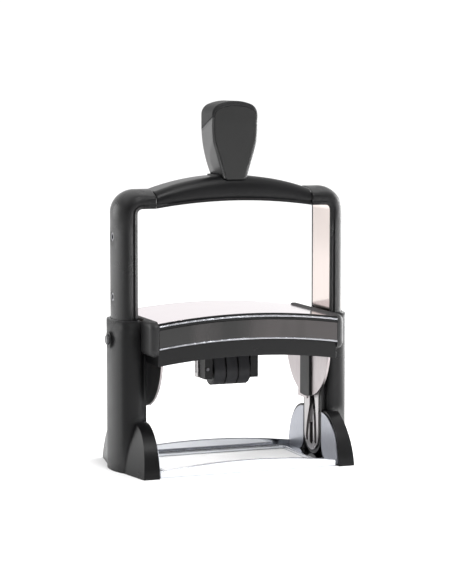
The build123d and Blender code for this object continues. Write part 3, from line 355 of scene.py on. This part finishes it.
# what the brushed sheets share: upright streaks that soften the reflections
brushedSheet = {
    "rough": 0.26, "lineMm": 0.6, "lineStretch": (1.0, 1.0, 0.05), "lineRough": 0.1, "lineDepth": 0.25,
    "edgeMm": 0.3}
metals = {
    # the base: the clear mirror, with a painted shade along its edges: dark lines that stand in for a contact
    # shadow and for dark things the edges reflect
    "base_frame": ("buffedNickelPressing", {
        **buffedNickel, "dark": "#d9dbe1", "light": "#e9ebef", "edgeMm": 1.45, "edgeTone": "#3c3e46"}),
    # the strap: the mirror with a warm tone, wiped along its uprights
    "inner_strap": ("buffedWarmNickel", {
        **buffedNickel, "dark": "#c6bab5", "light": "#d6cbc6", "rough": 0.1,
        "lineStretch": (1.0, 1.0, 0.04)}),
    # the roof plate: the mirror with a faint rose tone
    "housing_top_plate": ("buffedRoseNickel", {
        **buffedNickel, "dark": "#dfd3d7", "light": "#ece1e5", "rough": 0.09}),
    # trim strips: drawn chrome with a satin face and a painted reflection along both edges: dark lines that
    # stand in for what a rounded bead reflects, so the face reads as a thin bright line
    "trim_strip": ("drawnChromeTrim", {
        **buffedNickel, "dark": "#9a9ba0", "light": "#adaeb3", "rough": 0.25, "lineRough": 0.02,
        "lineDepth": 0.02, "edgeMm": 0.5, "edgeTone": "#1c1c20"}),
    # eyelets in the legs: tumbled steel, a mid-grey ring whose bright rim is a painted highlight
    "lock_eyelets": ("tumbledEyeletSteel", {
        **turnedMetal, "dark": "#77777b", "light": "#929296", "rough": 0.3, "lineDepth": 0.1, "edgeMm": 0.3,
        "edgeTone": "#c4c4c8"}),
    # nickel over blasted steel: an even soft grey without a clear mirror image
    "satin_nickel": ("satinNickelPlate", {
        "dark": "#83858c", "light": "#9ea0a7", "rough": 0.3, "lineMm": 0.7, "lineStretch": (1.0, 1.0, 0.2),
        "lineRough": 0.08, "lineDepth": 0.15, "edgeMm": 0.35}),
    # sheet steel, plain brushed
    "brushed_plate": ("brushedSheetSteel", {**brushedSheet, "dark": "#868484", "light": "#b0adad"}),
    # turned and drawn steel: bright
    "bright_steel": ("turnedBrightSteel", {**turnedMetal, "dark": "#a9aaad", "light": "#cfd0d3"}),
    # the detent pin: turned steel left with a dark heat scale, so that its end is only a dim dot
    "detent_pin": ("scaledPinSteel", {**turnedMetal, "dark": "#48484b", "light": "#5e5e61", "rough": 0.4}),
    # turned brass: warm
    "bush_brass": ("turnedBrass", {**turnedMetal, "dark": "#b08a45", "light": "#d2ad62", "rough": 0.22}),
}

# Sheet steel brushed towards the middle, with a painted shade in dull black on the sides that face away from
# it.
shieldPaintedShade = {
    **brushedSheet, "dark": "#8d8788", "light": "#ada6a7", "rough": 0.3, "lineDepth": 0.2, "paint": "#101011",
    "paintFrom": 0.001}  # metres from the middle plane, times how squarely a side faces away from it


def steelWithPaintedShade(name, look):
    material = workedMetal(name, look)
    tree = material.node_tree
    shader = tree.nodes["Principled BSDF"]
    bare = shader.inputs["Base Color"].links[0].from_socket
    place = addNode(tree, "ShaderNodeSeparateXYZ", {}, {
        "Vector": addNode(tree, "ShaderNodeTexCoord", {}, {}).outputs["Object"]})
    facing = addNode(tree, "ShaderNodeSeparateXYZ", {}, {
        "Vector": addNode(tree, "ShaderNodeNewGeometry", {}, {}).outputs["Normal"]})
    outward = addNode(tree, "ShaderNodeMath", {"operation": "MULTIPLY"}, {
        0: place.outputs["X"], 1: facing.outputs["X"]})
    # sides that face away from the middle get the painted shade: near black, and not metallic
    painted = addNode(tree, "ShaderNodeMath", {"operation": "GREATER_THAN"}, {
        0: outward.outputs[0], 1: look["paintFrom"]})
    tone = addNode(tree, "ShaderNodeMix", {"data_type": "RGBA"}, {
        0: painted.outputs[0], 6: bare, 7: linearColour(look["paint"])})
    tree.links.new(tone.outputs[2], shader.inputs["Base Color"])
    metal = addNode(tree, "ShaderNodeMath", {"operation": "SUBTRACT"}, {0: 1.0, 1: painted.outputs[0]})
    tree.links.new(metal.outputs[0], shader.inputs["Metallic"])
    return material


# Smoked acrylic: a dark tint under a gloss skin, with a slow unevenness from the sheet it was cut from.
labelWindow = {
    "dark": "#060505", "light": "#332f2f", "cloudMm": 45, "cloudStretch": (1.0, 1.0, 0.12), "tintFrom": 0.4,
    "tintTo": 0.6, "rough": 0.1, "haze": 0.12, "waveDepth": 0.15, "waveMm": 0.3, "ior": 1.49}


def smokedAcrylic(name, look):
    material, tree, shader, place = startMaterial(name)
    upright = addNode(tree, "ShaderNodeMapping", {}, {"Vector": place, "Scale": look["cloudStretch"]})
    cloud = addNode(tree, "ShaderNodeTexNoise", {}, {
        "Vector": upright.outputs["Vector"], "Scale": perMm(look["cloudMm"]), "Detail": 2.0})
    strong = addNode(tree, "ShaderNodeMapRange", {}, {
        "Value": cloud.outputs["Fac"], "From Min": look["tintFrom"], "From Max": look["tintTo"]})
    tint = addNode(tree, "ShaderNodeMix", {"data_type": "RGBA"}, {
        0: strong.outputs["Result"], 6: linearColour(look["dark"]), 7: linearColour(look["light"])})
    tree.links.new(tint.outputs[2], shader.inputs["Base Color"])
    haze = addNode(tree, "ShaderNodeMapRange", {}, {
        "Value": cloud.outputs["Fac"], "To Min": look["rough"], "To Max": look["rough"] + look["haze"]})
    tree.links.new(haze.outputs["Result"], shader.inputs["Roughness"])
    wave = addNode(tree, "ShaderNodeBump", {}, {
        "Height": cloud.outputs["Fac"], "Strength": look["waveDepth"], "Distance": look["waveMm"] * mm})
    tree.links.new(wave.outputs["Normal"], shader.inputs["Normal"])
    shader.inputs["IOR"].default_value = look["ior"]
    return material


# Index card: matt pulp board with short fibres.
labelCard = {
    "dark": "#8b8686", "light": "#a39e9d", "fibreMm": 0.9, "fibreDepth": 0.3, "fibreHeightMm": 0.1,
    "rough": 0.85}


def pulpCard(name, look):
    material, tree, shader, place = startMaterial(name)
    fibre = addNode(tree, "ShaderNodeTexNoise", {}, {
        "Vector": place, "Scale": perMm(look["fibreMm"]), "Detail": 6.0})
    tone = addNode(tree, "ShaderNodeMix", {"data_type": "RGBA"}, {
        0: fibre.outputs["Fac"], 6: linearColour(look["dark"]), 7: linearColour(look["light"])})
    tree.links.new(tone.outputs[2], shader.inputs["Base Color"])
    bump = addNode(tree, "ShaderNodeBump", {}, {
        "Height": fibre.outputs["Fac"], "Strength": look["fibreDepth"],
        "Distance": look["fibreHeightMm"] * mm})
    tree.links.new(bump.outputs["Normal"], shader.inputs["Normal"])
    shader.inputs["Roughness"].default_value = look["rough"]
    return material


# Vulcanised rubber: dull, with a dusty bloom and a fine skin.
rubber = {
    "bloomMm": 5, "bloomRough": 0.1, "skinMm": 0.5, "skinDepth": 0.25, "skinHeightMm": 0.1, "edgeMm": 0.3,
    "bevelSamples": 6, "ior": 1.52}
# the text plate: red-brown, as laser-cut stamp rubber is
textRubber = {**rubber, "dark": "#4b2a26", "light": "#6a3c34", "rough": 0.7, "specular": 0.4}
# the date bands: nearly black, and smoother from the mould
bandRubber = {**rubber, "dark": "#151517", "light": "#222225", "rough": 0.55, "specular": 0.2}


def vulcanisedRubber(name, look):
    material, tree, shader, place = startMaterial(name)
    bloom = addNode(tree, "ShaderNodeTexNoise", {}, {
        "Vector": place, "Scale": perMm(look["bloomMm"]), "Detail": 5.0})
    tone = addNode(tree, "ShaderNodeMix", {"data_type": "RGBA"}, {
        0: bloom.outputs["Fac"], 6: linearColour(look["dark"]), 7: linearColour(look["light"])})
    tree.links.new(tone.outputs[2], shader.inputs["Base Color"])
    rough = addNode(tree, "ShaderNodeMapRange", {}, {
        "Value": bloom.outputs["Fac"], "To Min": look["rough"] - look["bloomRough"],
        "To Max": look["rough"] + look["bloomRough"]})
    tree.links.new(rough.outputs["Result"], shader.inputs["Roughness"])
    skin = addNode(tree, "ShaderNodeTexNoise", {}, {
        "Vector": place, "Scale": perMm(look["skinMm"]), "Detail": 3.0})
    rounded = addNode(tree, "ShaderNodeBevel", {"samples": look["bevelSamples"]}, {
        "Radius": look["edgeMm"] * mm}).outputs["Normal"]
    bump = addNode(tree, "ShaderNodeBump", {}, {
        "Height": skin.outputs["Fac"], "Strength": look["skinDepth"], "Distance": look["skinHeightMm"] * mm,
        "Normal": rounded})
    tree.links.new(bump.outputs["Normal"], shader.inputs["Normal"])
    shader.inputs["IOR"].default_value = look["ior"]
    shader.inputs["Specular IOR Level"].default_value = look["specular"]
    return material


# Ink felt: pressed fibre soaked nearly black, wet where it pools and matt where it has dried.
padFelt = {
    "wet": "#0d0d14", "dry": "#23222b", "poolMm": 14, "poolFrom": 0.3, "poolTo": 0.7, "wetRough": 0.5,
    "dryRough": 0.95, "fibreMm": 0.7, "fibreDepth": 0.6, "fibreHeightMm": 0.3, "fibreCurl": 0.6, "sheen": 0.3}


def inkFelt(name, look):
    material, tree, shader, place = startMaterial(name)
    pool = addNode(tree, "ShaderNodeTexNoise", {}, {
        "Vector": place, "Scale": perMm(look["poolMm"]), "Detail": 4.0})
    tone = addNode(tree, "ShaderNodeMix", {"data_type": "RGBA"}, {
        0: pool.outputs["Fac"], 6: linearColour(look["wet"]), 7: linearColour(look["dry"])})
    tree.links.new(tone.outputs[2], shader.inputs["Base Color"])
    rough = addNode(tree, "ShaderNodeMapRange", {}, {
        "Value": pool.outputs["Fac"], "From Min": look["poolFrom"], "From Max": look["poolTo"],
        "To Min": look["wetRough"], "To Max": look["dryRough"]})
    tree.links.new(rough.outputs["Result"], shader.inputs["Roughness"])
    fibre = addNode(tree, "ShaderNodeTexNoise", {}, {
        "Vector": place, "Scale": perMm(look["fibreMm"]), "Detail": 6.0, "Distortion": look["fibreCurl"]})
    bump = addNode(tree, "ShaderNodeBump", {}, {
        "Height": fibre.outputs["Fac"], "Strength": look["fibreDepth"],
        "Distance": look["fibreHeightMm"] * mm})
    tree.links.new(bump.outputs["Normal"], shader.inputs["Normal"])
    shader.inputs["Sheen Weight"].default_value = look["sheen"]
    return material


# finishes by slot, and by piece where a piece has its own; both sides of a pair share one
finishes = {slot: mouldedPlastic(*spec) for slot, spec in plastics.items()}
finishes.update({slot: workedMetal(*spec) for slot, spec in metals.items()})
finishes["end_shield"] = steelWithPaintedShade("brushedSteelPaintedShade", shieldPaintedShade)
finishes["smoked_window"] = smokedAcrylic("smokedAcrylicSheet", labelWindow)
finishes["card"] = pulpCard("greyPulpCard", labelCard)
finishes["die_rubber"] = vulcanisedRubber("laserCutRubber", textRubber)
finishes["band_rubber"] = vulcanisedRubber("mouldedBandRubber", bandRubber)
finishes["ink_felt"] = inkFelt("inkedPressedFelt", padFelt)

sideWords = ("left_", "right_", "upper_", "lower_")
for part in frame["record"]["subparts"]:
    node = part["node"]
    piece = node.split("_", 1)[1] if node.startswith(sideWords) else node
    mesh = nodes[node].data
    mesh.materials.clear()
    mesh.materials.append(finishes[piece if piece in finishes else part["material_slot"]])
print("finishes on:", len(nodes), "nodes")


# quads between closed rings of points, which turn right-handed about the way from the first to the last
def ringQuads(rows, around):
    first = np.arange(rows - 1)[:, None] * around
    here = np.arange(around)[None, :]
    a = (first + here).reshape(-1)
    b = (first + (here + 1) % around).reshape(-1)
    return np.stack([a, b, b + around, a + around], axis=-1).tolist()


# triangles that close the first and the last ring, each on a middle point that follows the rings
def endFans(rows, around):
    here = np.arange(around)
    after = (here + 1) % around
    last = (rows - 1) * around
    startFan = np.stack([np.full(around, rows * around), after, here], axis=-1)
    endFan = np.stack([np.full(around, rows * around + 1), last + here, last + after], axis=-1)
    return startFan.tolist() + endFan.tolist()


def smoothObject(name, points, faces, finish):
    mesh = bpy.data.meshes.new(name)
    mesh.from_pydata(points.tolist(), [], faces)
    mesh.polygons.foreach_set("use_smooth", np.ones(len(mesh.polygons), dtype=bool))
    mesh.update()
    mesh.materials.append(finishes[finish])
    piece = bpy.data.objects.new(name, mesh)
    scene.collection.objects.link(piece)
    return piece


# The felt insert: a rounded slab whose underside is crowned and whose sides draw in a little between the
# corners. Over a grid in angle and in distance from the middle, the outline is a superellipse, the underside
# sinks towards the middle by a cosine bell with a faint ripple, and the rim rolls over by a quarter circle.
# Sizes are in millimetres.
pad = {
    "power": 9.0, "crown": 0.5, "drawIn": 0.5, "rim": 1.2, "ripple": 0.05, "rippleX": 4.1, "rippleY": 3.3,
    "backGap": 0.05, "firstRing": 0.02, "around": 240, "across": 36}


def makeInkPad():
    low, high = (np.array(corner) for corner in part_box("ink_pad"))
    middle = (low + high) / 2
    half = (high - low) / 2
    turn = np.linspace(0, 2 * np.pi, pad["around"], endpoint=False)
    out = np.linspace(pad["firstRing"], 1, pad["across"])
    c, s = np.cos(turn), np.sin(turn)
    reach = (np.abs(c) ** pad["power"] + np.abs(s) ** pad["power"]) ** (-1 / pad["power"])
    edgeX = c * reach * (half[0] - pad["drawIn"] * mm * (1 - (s * reach) ** 2))
    edgeY = s * reach * (half[1] - pad["drawIn"] * mm * (1 - (c * reach) ** 2))
    u, edge = np.meshgrid(out, np.arange(pad["around"]), indexing="ij")
    x = middle[0] + u * edgeX[edge]
    y = middle[1] + u * edgeY[edge]
    inset = (1 - u) * np.hypot(edgeX[edge], edgeY[edge])
    rim = pad["rim"] * mm
    roll = rim - np.sqrt(np.maximum(rim**2 - np.maximum(rim - inset, 0) ** 2, 0))
    bell = pad["crown"] * mm * (1 - np.cos(np.pi * u)) / 2
    ripple = pad["ripple"] * mm * (1 + np.sin(x / (pad["rippleX"] * mm)) * np.sin(y / (pad["rippleY"] * mm)))
    under = low[2] + bell + roll + ripple
    back = high[2] - pad["backGap"] * mm
    grid = np.stack([x, y, under], axis=-1).reshape(-1, 3)
    rimTop = np.stack([x[-1], y[-1], np.full(pad["around"], back)], axis=-1)
    ends = np.array([[middle[0], middle[1], low[2] + 2 * pad["ripple"] * mm], [middle[0], middle[1], back]])
    rows = pad["across"] + 1
    faces = ringQuads(rows, pad["around"]) + endFans(rows, pad["around"])
    felt = smoothObject("inkPadFelt", np.concatenate([grid, rimTop, ends]), faces, "ink_felt")
    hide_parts("ink_pad")
    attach(felt, "pad_cartridge")


makeInkPad()
print("ink pad made")

# The return springs: round wire wound in a helix, with closed end turns. A ring of points is carried along
# the helix, square to it: the angle grows evenly, and the height grows slowly in the end turns and faster
# between them. Sizes are in millimetres.
spring = {"wire": 1.1, "turns": 20, "closedTurns": 1.5, "closedPitch": 1.2, "perTurn": 28, "around": 10}


def makeReturnSpring(side):
    node = side + "_return_spring"
    low, high = (np.array(corner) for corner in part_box(node))
    middle = (low + high) / 2
    wire = spring["wire"] * mm / 2
    coil = (high[0] - low[0]) / 2 - wire
    share = np.linspace(0, 1, spring["turns"] * spring["perTurn"] + 1)
    turn = 2 * np.pi * spring["turns"] * share
    closed = spring["closedTurns"] / spring["turns"]
    rise = spring["closedTurns"] * spring["closedPitch"] * mm
    bottom, top = low[2] + wire, high[2] - wire
    height = np.interp(share, [0, closed, 1 - closed, 1], [bottom, bottom + rise, top - rise, top])
    outward = np.stack([np.cos(turn), np.sin(turn), np.zeros_like(turn)], axis=-1)
    axis = np.stack([np.full_like(turn, middle[0]), np.full_like(turn, middle[1]), height], axis=-1)
    path = coil * outward + axis
    ahead = np.gradient(path, axis=0)
    ahead /= np.linalg.norm(ahead, axis=1, keepdims=True)
    upward = np.cross(ahead, outward)
    ring = np.linspace(0, 2 * np.pi, spring["around"], endpoint=False)[None, :, None]
    tube = path[:, None] + wire * (np.cos(ring) * outward[:, None] + np.sin(ring) * upward[:, None])
    points = np.concatenate([tube.reshape(-1, 3), path[[0, -1]]])
    faces = ringQuads(len(path), spring["around"]) + endFans(len(path), spring["around"])
    wound = smoothObject(side + "ReturnSpring", points, faces, "bright_steel")
    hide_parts(node)
    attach(wound, "base")
    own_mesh(wound)


for side in ("left", "right"):
    makeReturnSpring(side)
print("return springs made")
